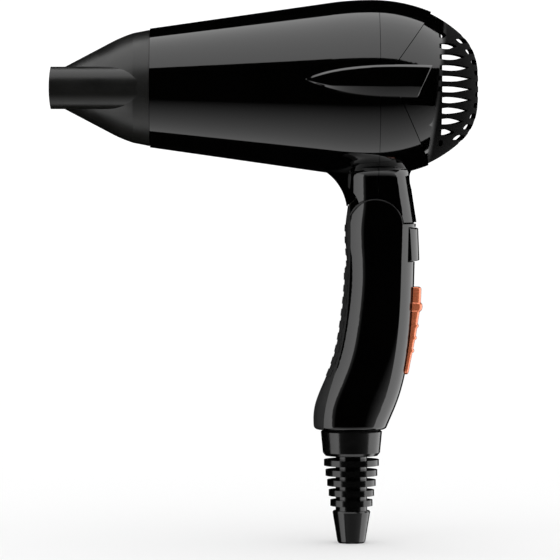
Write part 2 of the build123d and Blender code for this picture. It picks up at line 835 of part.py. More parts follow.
with BuildPart() as slide_switch:
    with Locations((6.0, 0, -13.0)):
        Box(9.0, 10.0, 22.0)
    add(
        track_sector(
            track_round - 9.5,
            track_round + 10.0,
            track_lean - slider_stem_half - slider_turn - 0.2,
            track_lean + slider_stem_half + 0.2,
            2.0,
        ),
        mode=Mode.SUBTRACT,
    )

# ---- cool-air button ----
with BuildPart() as cool_button:
    with BuildSketch(Plane.XZ):
        with BuildLine():
            Polyline(
                (13.6, button_low_z),
                (19.0, button_low_z),
                (20.5, button_low_z + 1.4),
                (20.5, button_low_z + 2.4),
                (19.8, button_top_z - 0.8),
                (19.2, button_top_z),
                (13.6, button_top_z),
                close=True,
            )
        make_face()
    extrude(amount=-button_half_width)
    add(handle_form(-button_proud), mode=Mode.INTERSECT)
    mirror(about=Plane.XZ)
    with Locations((14.3, 0, (button_low_z + button_top_z - tongue_reach) / 2)):
        Box(1.4, 2 * tongue_half_width, button_top_z - button_low_z + tongue_reach)

with BuildPart() as button_spring:
    with BuildSketch(Plane.XZ):
        with BuildLine():
            leaf = ThreePointArc((9.9, 22.5), (13.3, 28.0), (9.9, 33.5))
            offset(leaf, amount=0.15, side=Side.BOTH)
        make_face()
    extrude(amount=2.5, both=True)

with BuildPart() as button_switch:
    with Locations((9.4, 0, 13.5)):
        Box(5.0, 7.0, 11.0)

# ---- labels and files ----
pieces = {
    "front_shell": front_shell,
    "middle_shell": middle_shell,
    "grille_cap": grille_cap,
    "inlay_left": inlay_left,
    "inlay_right": inlay_right,
    "outlet_spigot": outlet_spigot,
    "outlet_grille": outlet_grille,
    "nozzle_shell": nozzle_shell,
    "nozzle_clip_ring": nozzle_clip_ring,
    "heat_shield": heat_shield,
    "heater_cross": heater_cross,
    "heater_coils": heater_coils,
    "thermal_cutout": thermal_cutout,
    "fan_housing": fan_housing,
    "motor_can": motor_can,
    "motor_endcap": motor_endcap,
    "rectifier_board": rectifier_board,
    "motor_shaft": motor_shaft,
    "impeller": impeller,
    "hinge_knuckle": hinge_knuckle,
    "hinge_pin": hinge_pin,
    "friction_washers": friction_washers,
    "neck_screw": neck_screw,
    "handle_left": handle_left,
    "handle_right": handle_right,
    "handle_screws": handle_screws,
    "grip_strip": grip_strip,
    "strain_relief": strain_relief,
    "cord_clamp": cord_clamp,
    "clamp_screws": clamp_screws,
    "switch_slider": switch_slider,
    "slide_switch": slide_switch,
    "cool_button": cool_button,
    "button_spring": button_spring,
    "button_switch": button_switch,
}
os.makedirs("parts", exist_ok=True)
for name, piece in pieces.items():
    piece.part.label = name
    export_step(piece.part, f"parts/{name}.step")
print("slider track centre", [round(value, 3) for value in track_centre], "turn", round(slider_turn, 4))
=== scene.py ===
"""Finishes, studio and camera of a folding travel hair dryer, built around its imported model.

Everything is in metres. The barrel lies along X with its nozzle towards -X, the handle hangs along -Z,
and Y = 0 is the plane where the two handle halves meet.
"""

import logging
import math
from dataclasses import dataclass, field
from enum import Enum

import bmesh
import bpy
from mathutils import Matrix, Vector


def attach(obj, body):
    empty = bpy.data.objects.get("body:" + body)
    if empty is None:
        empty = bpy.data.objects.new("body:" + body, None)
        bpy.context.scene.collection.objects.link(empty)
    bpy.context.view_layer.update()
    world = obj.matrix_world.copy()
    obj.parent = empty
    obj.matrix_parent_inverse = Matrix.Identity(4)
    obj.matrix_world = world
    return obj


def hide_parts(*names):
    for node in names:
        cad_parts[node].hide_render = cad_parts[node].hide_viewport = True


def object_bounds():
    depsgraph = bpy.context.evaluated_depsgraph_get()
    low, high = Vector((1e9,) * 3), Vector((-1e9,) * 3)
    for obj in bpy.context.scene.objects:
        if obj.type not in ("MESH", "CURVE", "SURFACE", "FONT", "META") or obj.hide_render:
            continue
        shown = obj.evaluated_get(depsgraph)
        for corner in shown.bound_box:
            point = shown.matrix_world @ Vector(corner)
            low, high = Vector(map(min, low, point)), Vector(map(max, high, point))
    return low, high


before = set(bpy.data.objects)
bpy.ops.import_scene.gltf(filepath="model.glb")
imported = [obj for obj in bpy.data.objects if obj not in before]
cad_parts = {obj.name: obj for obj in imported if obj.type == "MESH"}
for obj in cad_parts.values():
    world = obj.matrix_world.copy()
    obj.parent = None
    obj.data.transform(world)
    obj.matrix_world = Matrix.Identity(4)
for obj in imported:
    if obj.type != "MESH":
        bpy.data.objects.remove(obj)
cad_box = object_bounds()

log = logging.getLogger("hair_dryer")

MM = 0.001                  # a millimetre in Blender's metres
WHITE = (1.0, 1.0, 1.0, 1.0)
MIX_A, MIX_B, MIX_RESULT = 6, 7, 2      # the colour sockets of a mix node
NOISE_LOW, NOISE_HIGH = 0.3, 0.7        # nearly all of a noise's values lie between these
CLOUD_DETAIL, GRAIN_DETAIL = 3.0, 2.0   # how many finer layers the two noises have


# ---- colours and nodes ----


def linear(hex_colour: str) -> tuple[float, float, float, float]:
    """Turns an sRGB hex colour into the linear colour that shaders take.

    Args:
        hex_colour: the colour as "#rrggbb".

    Returns:
        Red, green, blue and an alpha of 1.
    """
    channels = [int(hex_colour[i : i + 2], 16) / 255 for i in (1, 3, 5)]
    red, green, blue = (c / 12.92 if c <= 0.04045 else ((c + 0.055) / 1.055) ** 2.4 for c in channels)
    return red, green, blue, 1.0


def add_node(
    tree: bpy.types.NodeTree,
    kind: str,
    settings: dict[str, object] | None = None,
    links: dict[str, bpy.types.NodeSocket] | None = None,
) -> bpy.types.Node:
    """Adds one node to a tree.

    Args:
        tree: the node tree that gets the node.
        kind: the node's type, by Blender's name for it.
        settings: values by name, each for the input socket of that name or else for the node itself.
        links: the output socket that feeds each named input.

    Returns:
        The new node.
    """
    node = tree.nodes.new(kind)
    for name, value in (settings or {}).items():
        if name in node.inputs:
            node.inputs[name].default_value = value
        else:
            setattr(node, name, value)
    for name, source in (links or {}).items():
        tree.links.new(source, node.inputs[name])
    return node


def per_metre(size_mm: float) -> float:
    """The texture scale that gives a pattern features of this size in millimetres."""
    return 1.0 / (size_mm * MM)


def add_noise(
    tree: bpy.types.NodeTree, place: bpy.types.NodeSocket, size_mm: float, detail: float
) -> bpy.types.NodeSocket:
    """Adds a noise with features of a real size.

    Args:
        tree: the material's node tree.
        place: the point's place on the object, in metres.
        size_mm: how large the features are.
        detail: how many finer layers the noise has.

    Returns:
        The noise's value, from 0 to 1.
    """
    settings = {"Scale": per_metre(size_mm), "Detail": detail}
    return add_node(tree, "ShaderNodeTexNoise", settings, {"Vector": place}).outputs[0]


# ---- finishes ----


class Lay(Enum):
    """The direction that a pattern is drawn out in."""

    EVEN = (1.0, 1.0, 1.0)
    ALONG_BARREL = (0.04, 1.0, 1.0)


@dataclass(frozen=True)
class Finish:
    """One material: a shader with its fixed values, and a pattern for colour, roughness and relief.

    The pattern is a noise of `grain_mm`, drawn out along `lay`. It mixes `colour` with `shade`, moves the
    roughness between its two values, and raises the surface by up to `relief_mm`.
    """

    name: str
    colour: str
    shade: str
    roughness: tuple[float, float]
    grain_mm: float
    relief_mm: float
    cloud_mm: float = 14.0
    metallic: float = 0.0
    ior: float = 1.5
    coat: float = 0.0
    coat_roughness: float = 0.05
    sheen: float = 0.0
    lay: Lay = Lay.EVEN

    def material(self) -> bpy.types.Material:
        """Returns this finish as a Blender material, made on first use."""
        made = bpy.data.materials.get(self.name)
        if made:
            return made
        material = bpy.data.materials.new(self.name)
        material.use_nodes = True
        tree = material.node_tree
        tree.nodes.clear()
        shader = add_node(tree, "ShaderNodeBsdfPrincipled", self.constants())
        add_node(tree, "ShaderNodeOutputMaterial", links={"Surface": shader.outputs["BSDF"]})
        place = add_node(tree, "ShaderNodeTexCoord").outputs["Object"]
        self.pattern(tree, shader, place)
        return material

    def constants(self) -> dict[str, object]:
        """The values that are the same all over the surface."""
        values = {
            "Metallic": self.metallic,
            "Coat Weight": self.coat,
            "Coat Roughness": self.coat_roughness,
            "Sheen Weight": self.sheen,
        }
        if not self.metallic:
            values["IOR"] = self.ior
        return values

    def pattern(
        self, tree: bpy.types.NodeTree, shader: bpy.types.Node, place: bpy.types.NodeSocket
    ) -> None:
        """Feeds the shader's colour, roughness and normal.

        Args:
            tree: the material's node tree.
            shader: the shader that takes the pattern.
            place: the point's place on the object, in metres.
        """
        drawn = add_node(tree, "ShaderNodeMapping", {"Scale": self.lay.value}, {"Vector": place})
        cloud = add_noise(tree, drawn.outputs["Vector"], self.cloud_mm, CLOUD_DETAIL)
        grain = add_noise(tree, drawn.outputs["Vector"], self.grain_mm, GRAIN_DETAIL)
        self.tint(tree, shader, cloud)
        self.roughen(tree, shader, cloud)
        self.emboss(tree, shader, grain)

    def tint(self, tree: bpy.types.NodeTree, shader: bpy.types.Node, value: bpy.types.NodeSocket) -> None:
        """Mixes this finish's two colours into the shader's colour.

        Args:
            tree: the material's node tree.
            shader: the shader that takes the colour.
            value: the pattern that mixes them, from 0 to 1.
        """
        mix = add_node(tree, "ShaderNodeMix", {"data_type": "RGBA"}, {"Factor": value})
        mix.inputs[MIX_A].default_value = linear(self.colour)
        mix.inputs[MIX_B].default_value = linear(self.shade)
        tree.links.new(mix.outputs[MIX_RESULT], shader.inputs["Base Color"])

    def wall_roughness(
        self, tree: bpy.types.NodeTree, value: bpy.types.NodeSocket
    ) -> bpy.types.NodeSocket:
        """Turns a pattern into a roughness between this finish's two values.

        Args:
            tree: the material's node tree.
            value: the pattern, around a half.

        Returns:
            The roughness.
        """
        smooth, rough = self.roughness
        span = {"From Min": NOISE_LOW, "From Max": NOISE_HIGH, "To Min": smooth, "To Max": rough}
        return add_node(tree, "ShaderNodeMapRange", span, {"Value": value}).outputs["Result"]

    def roughen(
        self, tree: bpy.types.NodeTree, shader: bpy.types.Node, value: bpy.types.NodeSocket
    ) -> None:
        """Moves the shader's roughness between this finish's two values.

        Args:
            tree: the material's node tree.
            shader: the shader whose roughness moves.
            value: the pattern that moves it, around a half.
        """
        tree.links.new(self.wall_roughness(tree, value), shader.inputs["Roughness"])

    def emboss(
        self, tree: bpy.types.NodeTree, shader: bpy.types.Node, height: bpy.types.NodeSocket
    ) -> None:
        """Raises the shaded surface by a pattern, up to this finish's relief.

        Args:
            tree: the material's node tree.
            shader: the shader whose normal is tilted.
            height: the pattern, from 0 to 1.
        """
        settings = {"Strength": 1.0, "Distance": self.relief_mm * MM}
        bump = add_node(tree, "ShaderNodeBump", settings, {"Height": height})
        tree.links.new(bump.outputs["Normal"], shader.inputs["Normal"])


@dataclass(frozen=True)
class TailShell(Finish):
    """A polished shell whose slotted tail is textured: gloss ahead of `tail_x`, dull behind it."""

    tail_x: float = 0.0158      # where the dull part begins at height 0, in metres
    slant: float = 0.12         # how far back that line leans for each metre of height
    blend: float = 0.0012       # half the width of the change, in metres
    tail_roughness: float = 0.85
    tail_tint: float = 0.0      # how much of its shine the texture leaves

    def roughen(
        self, tree: bpy.types.NodeTree, shader: bpy.types.Node, value: bpy.types.NodeSocket
    ) -> None:
        """Feeds the shader the wall's roughness ahead of the slots and the tail's behind them.

        Args:
            tree: the material's node tree.
            shader: the shader whose roughness and shine change.
            value: the pattern that moves the wall's roughness, around a half.
        """
        place = add_node(tree, "ShaderNodeTexCoord").outputs["Object"]
        along = add_node(tree, "ShaderNodeVectorMath", {"operation": "DOT_PRODUCT"}, {"Vector": place})
        along.inputs[1].default_value = (1.0, 0.0, -self.slant)
        station = {"Value": along.outputs["Value"]}
        step = {"From Min": self.tail_x - self.blend, "From Max": self.tail_x + self.blend}
        tail = add_node(
            tree,
            "ShaderNodeMapRange",
            step | {"To Max": self.tail_roughness},
            station | {"To Min": self.wall_roughness(tree, value)},
        )
        tree.links.new(tail.outputs["Result"], shader.inputs["Roughness"])
        fade = step | {"To Min": 1.0, "To Max": self.tail_tint}
        shine = add_node(tree, "ShaderNodeMapRange", fade, station)
        tree.links.new(shine.outputs["Result"], shader.inputs["Specular Tint"])


@dataclass(frozen=True)
class FlakeLacquer(Finish):
    """Metallic lacquer under a clear coat: flakes of `grain_mm` that each tilt and shine differently."""

    def pattern(
        self, tree: bpy.types.NodeTree, shader: bpy.types.Node, place: bpy.types.NodeSocket
    ) -> None:
        """Feeds the shader one colour, one roughness and one tilt for each flake.

        Args:
            tree: the material's node tree.
            shader: the shader that takes the pattern.
            place: the point's place on the object, in metres.
        """
        scale = {"Scale": per_metre(self.grain_mm)}
        flakes = add_node(tree, "ShaderNodeTexVoronoi", scale, {"Vector": place})
        sparkle = add_node(tree, "ShaderNodeSeparateColor", links={"Color": flakes.outputs["Color"]})
        self.tint(tree, shader, sparkle.outputs[0])
        self.roughen(tree, shader, sparkle.outputs[1])
        self.emboss(tree, shader, sparkle.outputs[2])


# Acrylonitrile butadiene styrene (ABS) from a mirror-polished mould: deep black under a hard clear
# reflection, with only the faint waviness of a moulded wall.
POLISHED_ABS = Finish(
    name="polished_black_abs", colour="#010101", shade="#020202", roughness=(0.035, 0.06),
    grain_mm=9.0, relief_mm=0.004, cloud_mm=22.0, ior=1.53,
)
# The tail cap's ABS: polished like the barrel, and textured between and behind its slots, where it
# looks dull.
TAIL_ABS = TailShell(
    name="part_textured_black_abs", colour="#010101", shade="#020202", roughness=(0.035, 0.06),
    grain_mm=9.0, relief_mm=0.004, cloud_mm=22.0, ior=1.53,
)
# The same ABS under a clear lacquer: a little deeper than the wall around it, with a crisp highlight
# on its edge.
LACQUERED_ABS = Finish(
    name="lacquered_black_abs", colour="#010101", shade="#020202", roughness=(0.03, 0.045),
    grain_mm=12.0, relief_mm=0.003, cloud_mm=18.0, ior=1.53, coat=0.35, coat_roughness=0.02,
)
# Glass-filled polyamide 66 from a spark-eroded mould: charcoal, satin, with a fine even grain. The real
# grain is about 0.1 mm and is drawn at 0.5 mm, or it would not show.
SATIN_POLYAMIDE = Finish(
    name="satin_polyamide_66", colour="#0e0e0c", shade="#131311", roughness=(0.29, 0.38),
    grain_mm=0.5, relief_mm=0.008, cloud_mm=9.0, ior=1.46,
)
# Polybutylene terephthalate (PBT), plain matt mouldings of the air duct: dull dark grey.
MATT_PBT = Finish(
    name="matt_black_pbt", colour="#0a0a0b", shade="#0f0f10", roughness=(0.45, 0.6),
    grain_mm=0.8, relief_mm=0.012, ior=1.57,
)
# Thermoplastic elastomer (TPE), moulded over with a soft-touch grain: dark, dull, with a little bloom
# at the edge.
SOFT_TPE = Finish(
    name="soft_touch_tpe", colour="#060606", shade="#0b0b0c", roughness=(0.55, 0.7),
    grain_mm=0.6, relief_mm=0.014, cloud_mm=6.0, ior=1.4, sheen=0.02,
)
# Plasticised PVC, moulded round the lead: half gloss, a little oily, with slow flow marks.
MOULDED_PVC = Finish(
    name="moulded_black_pvc", colour="#040404", shade="#080808", roughness=(0.12, 0.2),
    grain_mm=1.2, relief_mm=0.006, cloud_mm=5.0, ior=1.5,
)
# Copper-coloured metallic lacquer over ABS: a warm flake under a clear coat. The flakes are about
# 0.05 mm and are drawn at 0.3 mm so that the sparkle shows.
COPPER_LACQUER = FlakeLacquer(
    name="copper_flake_lacquer", colour="#cf6944", shade="#e8865c", roughness=(0.2, 0.32),
    grain_mm=0.3, relief_mm=0.004, metallic=0.55, coat=0.6, coat_roughness=0.08,
)
# Mica board, pressed from flakes: pale buff with darker scales, silky.
MICA_BOARD = Finish(
    name="pressed_mica_board", colour="#b9a57c", shade="#8f7a52", roughness=(0.4, 0.6),
    grain_mm=1.5, relief_mm=0.03, cloud_mm=2.5, ior=1.58,
)
# Nickel-chromium resistance wire that has been hot: grey with straw and brown heat tint along its length.
NICHROME = Finish(
    name="heat_tinted_nichrome", colour="#8d8680", shade="#6f5a48", roughness=(0.3, 0.45),
    grain_mm=0.8, relief_mm=0.004, cloud_mm=6.0, metallic=1.0,
)
# Mild steel, barrel zinc-plated: cool grey, clouded, not quite bright.
ZINC_STEEL = Finish(
    name="zinc_plated_steel", colour="#b4b6ba", shade="#9a9ca2", roughness=(0.24, 0.38),
    grain_mm=0.7, relief_mm=0.003, cloud_mm=2.0, metallic=1.0,
)
# Deep-drawn steel can of the motor: fine lines left by the punch along its length.
DRAWN_STEEL = Finish(
    name="drawn_steel_can", colour="#a5a7aa", shade="#8d9094", roughness=(0.26, 0.4),
    grain_mm=0.35, relief_mm=0.004, cloud_mm=3.0, metallic=1.0, lay=Lay.ALONG_BARREL,
)
# Natural polyamide of the fan: milky cream with the streaks of its glass fibre.
NATURAL_NYLON = Finish(
    name="natural_polyamide", colour="#cfcabb", shade="#bcb59f", roughness=(0.38, 0.5),
    grain_mm=0.9, relief_mm=0.01, cloud_mm=7.0, ior=1.53,
)
# Glass-fibre board (FR-4) under green solder mask: clouded green with the weave just felt.
GLASS_FIBRE_BOARD = Finish(
    name="glass_fibre_board", colour="#1d5a2c", shade="#174a25", roughness=(0.25, 0.38),
    grain_mm=1.0, relief_mm=0.01, cloud_mm=2.0, ior=1.55,
)
# Phenolic moulding of the switches: dull brown-black.
PHENOLIC = Finish(
    name="moulded_phenolic", colour="#1b1816", shade="#221e1b", roughness=(0.4, 0.52),
    grain_mm=0.7, relief_mm=0.008, cloud_mm=4.0, ior=1.6,
)


def dress(nodes: dict[str, Finish]) -> None:
    """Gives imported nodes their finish, in the object's own material slots.

    Args:
        nodes: the finish of each node, by the node's name.
    """
    for name, finish in nodes.items():
        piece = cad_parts[name]
        material = finish.material()
        if not piece.material_slots:
            piece.data.materials.append(material)
        for slot in piece.material_slots:
            slot.link = "OBJECT"
            slot.material = material
        log.info("%s: %s", name, finish.name)


# ---- meshes ----


SAME_POINT = 1e-6           # points closer than this are one, in metres


def add_mesh(
    name: str, points: list[Vector], faces: list[tuple[int, ...]], finish: Finish
) -> bpy.types.Object:
    """Makes a smooth mesh object from points in millimetres.

    Args:
        name: the object's name.
        points: the vertices, in millimetres.
        faces: the faces, each as its vertices' numbers.
        finish: the surface's finish.

    Returns:
        The new object, with its normals turned outwards.
    """
    mesh = bpy.data.meshes.new(name)
    mesh.from_pydata([point * MM for point in points], [], faces)
    shape = bmesh.new()
    shape.from_mesh(mesh)
    bmesh.ops.remove_doubles(shape, verts=shape.verts, dist=SAME_POINT)
    bmesh.ops.dissolve_degenerate(shape, edges=shape.edges, dist=SAME_POINT)
    bmesh.ops.recalc_face_normals(shape, faces=shape.faces)
    shape.to_mesh(mesh)
    shape.free()
    mesh.polygons.foreach_set("use_smooth", [True] * len(mesh.polygons))
    mesh.materials.append(finish.material())
    piece = bpy.data.objects.new(name, mesh)
    bpy.context.scene.collection.objects.link(piece)
    return piece


def crease_ends(piece: bpy.types.Object, angle: float) -> None:
    """Shades a piece's sharper edges as creases.

    Args:
        piece: the mesh object.
        angle: how far an edge turns before it is a crease, in degrees.
    """
    piece.data.set_sharp_from_angle(angle=math.radians(angle))


def grid_faces(rows: int, columns: int, start: int = 0, closed: bool = False) -> list[tuple[int, ...]]:
    """The faces of a grid of points that are numbered row by row.

    Args:
        rows: how many rows of points there are.
        columns: how many points are in a row.
        start: the number of the first point.
        closed: whether the last point of a row joins the first.

    Returns:
        The faces, each as four points' numbers.
    """
    spans = columns if closed else columns - 1
    faces = []
    for row in range(rows - 1):
        for column in range(spans):
            after = (column + 1) % columns
            low, high = start + row * columns, start + (row + 1) * columns
            faces.append((low + column, low + after, high + after, high + column))
    return faces


def slab_faces(rows: int, columns: int) -> list[tuple[int, ...]]:
    """The faces of a slab: a grid of points, the same grid again underneath, and the rim between them.

    Args:
        rows: how many rows of points each grid has.
        columns: how many points are in a row.

    Returns:
        The faces, for the upper grid's points followed by the lower grid's.
    """
    below = rows * columns
    rim = [row * columns for row in range(rows)]
    rim += [(rows - 1) * columns + column for column in range(1, columns)]
    rim += [row * columns + columns - 1 for row in range(rows - 2, -1, -1)]
    rim += list(range(columns - 2, 0, -1))
    faces = grid_faces(rows, columns) + grid_faces(rows, columns, below)
    for here, after in zip(rim, rim[1:] + rim[:1]):
        faces.append((here, after, after + below, here + below))
    return faces


def tube_faces(rings: int, around: int) -> list[tuple[int, ...]]:
    """The faces of a tube that is closed at both ends.

    Args:
        rings: how many rings of points there are.
        around: how many points are in a ring.

    Returns:
        The faces of the wall and of the two ends.
    """
    last = (rings - 1) * around
    ends = [tuple(range(around)), tuple(range(last, last + around))]
    return grid_faces(rings, around, closed=True) + ends


def between(table: tuple[tuple[float, float], ...], at: float) -> float:
    """Reads a value from a table by straight lines between its entries.

    Args:
        table: pairs of a place and its value, with the places rising.
        at: the place to read.

    Returns:
        The value there, or the nearest end's value outside the table.
    """
    if at <= table[0][0]:
        return table[0][1]
    for (place, value), (next_place, next_value) in zip(table, table[1:]):
        if at <= next_place:
            return value + (next_value - value) * (at - place) / (next_place - place)
    return table[-1][1]


def eased(share: float) -> float:
    """A share from 0 to 1 that starts and ends gently."""
    share = min(max(share, 0.0), 1.0)
    return share * share * (3.0 - 2.0 * share)


def rounded(share: float) -> float:
    """A share from 0 to 1 that rises like a quarter of a circle."""
    share = min(max(share, 0.0), 1.0)
    return math.sqrt(1 - (1 - share) ** 2)


def bezier(corners: tuple[tuple[float, float], ...], share: float) -> tuple[float, float]:
    """A point of a cubic curve.

    Args:
        corners: the curve's four control points.
        share: how far along the point is, from 0 to 1.

    Returns:
        The point's two coordinates.
    """
    rest = 1.0 - share
    weights = (rest**3, 3 * rest * rest * share, 3 * rest * share * share, share**3)
    return tuple(sum(w * corner[i] for w, corner in zip(weights, corners)) for i in (0, 1))


# ---- sub-assemblies ----


@dataclass(frozen=True)
class BarrelForm:
    """The barrel's round outline, in millimetres: a cone, then a crown, then the rounding behind it."""

    axis_z: float = 98.0
    outlet_x: float = -100.8
    outlet_r: float = 26.7
    taper: float = 0.143
    cone_end_x: float = -20.0
    crown_x: float = -1.5
    rear_round: float = 70.0

    def radius(self, x: float) -> float:
        """The barrel's radius at a station along it."""
        cone_end_r = self.outlet_r + self.taper * (self.cone_end_x - self.outlet_x)
        if x <= self.cone_end_x:
            return self.outlet_r + self.taper * (x - self.outlet_x)
        lean = math.atan(self.taper)
        crown_round = (self.crown_x - self.cone_end_x) / math.sin(lean)
        crown_r = cone_end_r + crown_round * (1 - math.cos(lean))
        bend = crown_round if x < self.crown_x else self.rear_round
        return crown_r - bend + math.sqrt(bend**2 - (x - self.crown_x) ** 2)

    def flank(self, x: float, z: float, proud: float, side: int) -> Vector:
        """A point on or above the barrel's flank.

        Args:
            x: the station along the barrel.
            z: the height.
            proud: how far the point stands above the barrel's surface.
            side: -1 for the flank towards -Y, 1 for the other.

        Returns:
            The point.
        """
        reach = self.radius(x) + proud
        return Vector((x, side * math.sqrt(reach**2 - (z - self.axis_z) ** 2), z))


@dataclass
class Leaf:
    """The leaf-shaped inlay of one flank, in millimetres.

    A crease runs along it. Above the crease it lies level with the barrel's curve, and below it a facet
    turns down into the pocket. The edge is bevelled.
    """

    side: int
    form: BarrelForm = BarrelForm()
    top_edge: tuple[tuple[float, float], ...] = (
        (-31.7, 101.8), (-20.0, 107.8), (0.0, 108.8), (24.6, 108.0),
    )
    low_edge: tuple[tuple[float, float], ...] = (
        (-31.7, 101.8), (-22.0, 95.8), (-8.0, 93.7), (17.9, 93.5),
    )
    crease_z: float = 98.9
    crease_proud: float = 1.0
    top_proud: float = 0.6
    low_proud: float = -0.65
    bevel: float = 0.9          # width of the bevelled top edge
    rear_bevel: float = 0.3     # width of the bevelled rear edge
    back: float = -0.75         # how deep the inlay's underside lies in the pocket
    top_floor: float = -0.05    # how deep the foot of the top bevel lies
    tip_proud: float = 0.1
    tip_share: float = 0.25     # the share of the length over which the facets rise out of the tip
    least_crease: float = 0.2   # the lowest place of the crease, as a share of the height there
    least_height: float = 0.1
    steps_along: int = 72
    crowding: float = 1.6       # more than 1 draws the points towards the rear edge
    rear_share: float = 0.9946  # where the rear bevel begins
    steps_up: int = 44
    bevel_rises: tuple[float, ...] = (0.93, 0.95, 0.97, 0.985)

    def spot(self, share: float, rise: float) -> tuple[float, float]:
        """X and Z of a point of the inlay, with the shares that surface() takes."""
        low, top = bezier(self.low_edge, share), bezier(self.top_edge, share)
        return tuple(a + (b - a) * rise for a, b in zip(low, top))

    def surface(self, share: float, rise: float) -> Vector:
        """A point of the inlay's face.

        Args:
            share: how far the point is from the tip to the rear edge, from 0 to 1.
            rise: how far it is from the low edge to the top edge, from 0 to 1.

        Returns:
            The point, on the barrel's flank and raised or sunk as the facets say.
        """
        x, z = self.spot(share, rise)
        low_z = self.spot(share, 0.0)[1]
        height = self.spot(share, 1.0)[1] - low_z
        crease = self.least_crease
        if height > self.least_height:
            crease = max((self.crease_z - low_z) / height, crease)
        tip = eased(share / self.tip_share)
        if rise >= crease:
            span = (rise - crease) / (1.0 - crease)
            proud = self.crease_proud + (self.top_proud - self.crease_proud) * span
            edge = (1.0 - rise) * height
        else:
            proud = self.low_proud + (self.crease_proud - self.low_proud) * rise / crease
            edge = self.bevel
        rear = (1.0 - share) * (self.top_edge[3][0] - self.top_edge[0][0])
        fall = 1.0 - min(edge / self.bevel, rear / self.rear_bevel, 1.0)
        floor = self.top_floor if rise >= crease else self.low_proud
        proud = proud + (floor - proud) * fall
        return self.form.flank(x, z, self.tip_proud + (proud - self.tip_proud) * tip, self.side)

    def build(self, name: str, node: str) -> bpy.types.Object:
        """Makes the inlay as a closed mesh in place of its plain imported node.

        Args:
            name: the piece's name.
            node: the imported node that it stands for.

        Returns:
            The inlay.
        """
        steps = self.steps_along
        shares = [1.0 - (1.0 - i / steps) ** self.crowding for i in range(steps)]
        shares = sorted({round(share, 5) for share in (*shares, self.rear_share, 1.0)})
        rises = {round(eased(i / self.steps_up), 5) for i in range(self.steps_up + 1)}
        rises = sorted(rises | set(self.bevel_rises))
        grid = [(share, rise) for share in shares for rise in rises]
        points = [self.surface(*at) for at in grid]
        points += [self.form.flank(*self.spot(*at), self.back, self.side) for at in grid]
        faces = slab_faces(len(shares), len(rises))
        piece = add_mesh(name, points, faces, LACQUERED_ABS)
        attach(piece, "barrel")
        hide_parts(node)
        log.info("%s: %s", name, LACQUERED_ABS.name)
        return piece


@dataclass
class Barrel:
    """The tapered barrel: two shells, the slotted tail cap and the leaf inlays."""

    finishes: dict[str, Finish] = field(
        default_factory=lambda: {
            "front_shell": POLISHED_ABS,
            "middle_shell": POLISHED_ABS,
            "grille_cap": TAIL_ABS,
            "outlet_spigot": MATT_PBT,
            "outlet_grille": MATT_PBT,
        }
    )

    def build(self) -> None:
        """Dresses the barrel and lays its inlays in."""
        dress(self.finishes)
        Leaf(side=1).build("leaf_left", "inlay_left")
        Leaf(side=-1).build("leaf_right", "inlay_right")


@dataclass
class Nozzle:
    """The concentrator nozzle and the ring that it turns on."""

    finishes: dict[str, Finish] = field(
        default_factory=lambda: {"nozzle_shell": SATIN_POLYAMIDE, "nozzle_clip_ring": ZINC_STEEL}
    )

    def build(self) -> None:
        """Dresses the nozzle."""
        dress(self.finishes)


@dataclass
class HeaterAndFan:
    """What shows through the outlet and the slots: the heater, the motor and the fan."""

    finishes: dict[str, Finish] = field(
        default_factory=lambda: {
            "heat_shield": MICA_BOARD,
            "heater_cross": MICA_BOARD,
            "heater_coils": NICHROME,
            "thermal_cutout": ZINC_STEEL,
            "fan_housing": MATT_PBT,
            "motor_can": DRAWN_STEEL,
            "motor_endcap": NATURAL_NYLON,
            "rectifier_board": GLASS_FIBRE_BOARD,
            "motor_shaft": ZINC_STEEL,
            "impeller": NATURAL_NYLON,
        }
    )

    def build(self) -> None:
        """Dresses the heater and the fan."""
        dress(self.finishes)


# The handle's outline, in millimetres: height and X of its rear edge, then of its front edge.
HANDLE_REAR = (
    (-33.0, 13.3), (-26.5, 14.6), (-20.0, 15.6), (-13.0, 16.5), (-6.0, 17.1), (1.0, 17.5), (8.0, 17.8),
    (22.0, 18.2), (36.0, 18.6),
)
HANDLE_FRONT = (
    (-33.0, -22.4), (-26.5, -19.9), (-20.0, -17.8), (-13.0, -16.3), (-6.0, -15.3), (1.0, -14.4),
    (8.0, -13.8), (22.0, -13.8), (36.0, -14.3),
)
HANDLE_HALF_WIDTH = 14.0
HINGE_Z = 36.0


def handle_back(z: float, y: float) -> float:
    """The station of the handle's back, in millimetres.

    Args:
        z: the height.
        y: the distance from the middle plane.

    Returns:
        X of the handle's rear surface there.
    """
    rear, front = between(HANDLE_REAR, z), between(HANDLE_FRONT, z)
    half = (rear - front) / 2
    return rear - half + half * math.sqrt(1 - (y / HANDLE_HALF_WIDTH) ** 2)


